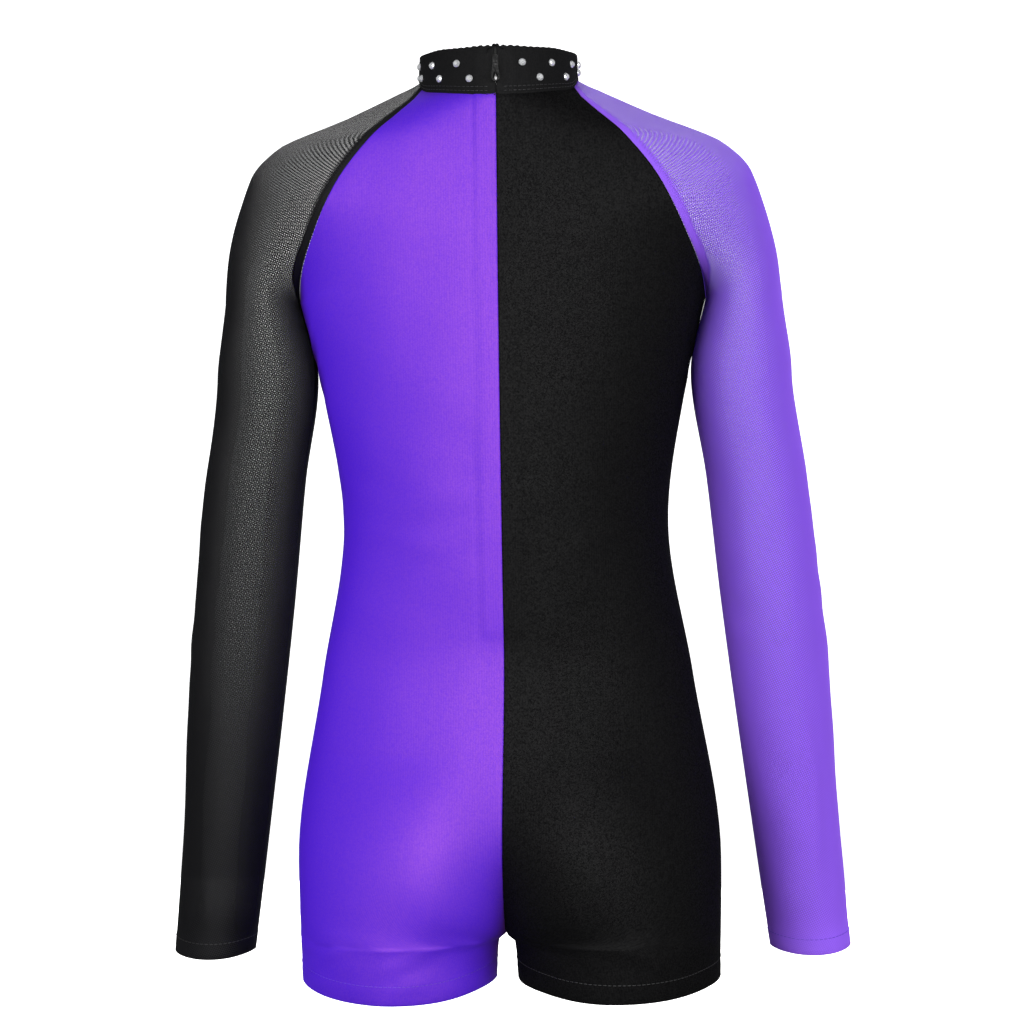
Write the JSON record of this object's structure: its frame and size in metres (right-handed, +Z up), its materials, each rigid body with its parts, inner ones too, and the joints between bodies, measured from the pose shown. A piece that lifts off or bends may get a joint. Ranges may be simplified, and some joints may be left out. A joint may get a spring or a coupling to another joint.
{
  "type": "gymnastics unitard",
  "caption": "Long-sleeved raglan gymnastics unitard with short legs, mesh sleeves, a stone-set mock neck, and a back zip whose slider and pull move.",
  "frame": {"origin": "centre of the neck opening, level with the nape, where the collar is sewn on", "axes": "+Z up towards the collar; the wearer faces +Y, so the zip is on the -Y side; the wearer's left is -X"},
  "size_m": [0.4406, 0.165, 0.5992],
  "materials": {
    "purple_knit": "violet stretch knit with a fine metallic fleck",
    "black_knit": "black stretch knit with a faint fleck",
    "collar_knit": "black stretch knit, double layer",
    "black_mesh": "black sheer power mesh",
    "purple_mesh": "violet sheer power mesh",
    "zip_tape": "woven black zip tape",
    "zip_coil": "black nylon coil",
    "zip_metal": "black lacquered zinc",
    "rhinestone_glass": "cut crystal with a silvered back"
  },
  "bodies": {
    "garment": {"back_left_panel": "purple_knit", "back_right_panel": "black_knit", "collar_facing": "collar_knit", "collar_outer": "collar_knit", "front_left_panel": "purple_knit", "front_right_panel": "black_knit", "left_leg_hem": "purple_knit", "left_sleeve": "black_mesh", "left_sleeve_hem": "black_mesh", "rhinestone_lower_1": "rhinestone_glass", "rhinestone_lower_10": "rhinestone_glass", "rhinestone_lower_11": "rhinestone_glass", "rhinestone_lower_12": "rhinestone_glass", "rhinestone_lower_13": "rhinestone_glass", "rhinestone_lower_2": "rhinestone_glass", "rhinestone_lower_3": "rhinestone_glass", "rhinestone_lower_4": "rhinestone_glass", "rhinestone_lower_5": "rhinestone_glass", "rhinestone_lower_6": "rhinestone_glass", "rhinestone_lower_7": "rhinestone_glass", "rhinestone_lower_8": "rhinestone_glass", "rhinestone_lower_9": "rhinestone_glass", "rhinestone_upper_1": "rhinestone_glass", "rhinestone_upper_10": "rhinestone_glass", "rhinestone_upper_11": "rhinestone_glass", "rhinestone_upper_12": "rhinestone_glass", "rhinestone_upper_13": "rhinestone_glass", "rhinestone_upper_14": "rhinestone_glass", "rhinestone_upper_2": "rhinestone_glass", "rhinestone_upper_3": "rhinestone_glass", "rhinestone_upper_4": "rhinestone_glass", "rhinestone_upper_5": "rhinestone_glass", "rhinestone_upper_6": "rhinestone_glass", "rhinestone_upper_7": "rhinestone_glass", "rhinestone_upper_8": "rhinestone_glass", "rhinestone_upper_9": "rhinestone_glass", "right_leg_hem": "black_knit", "right_sleeve": "purple_mesh", "right_sleeve_hem": "purple_mesh", "zip_bottom_stop": "zip_metal", "zip_coil_left": "zip_coil", "zip_coil_right": "zip_coil", "zip_tape_left": "zip_tape", "zip_tape_right": "zip_tape", "zip_top_stop_left": "zip_metal", "zip_top_stop_right": "zip_metal"},
    "zip_slider": {"zip_slider": "zip_metal"},
    "zip_pull": {"zip_pull": "zip_metal"}
  },
  "joints": [
    {"name": "zip_slide", "type": "hinge", "parent": "garment", "child": "zip_slider", "pos_m": [0, 1.141, -0.13], "axis": [1, 0, 0], "range_deg": [0, 16.38]},
    {"name": "pull_swing", "type": "hinge", "parent": "zip_slider", "child": "zip_pull", "pos_m": [0, -0.05203, 0.02062], "axis": [-1, 0, 0], "range_deg": [0, 170]}
  ]
}
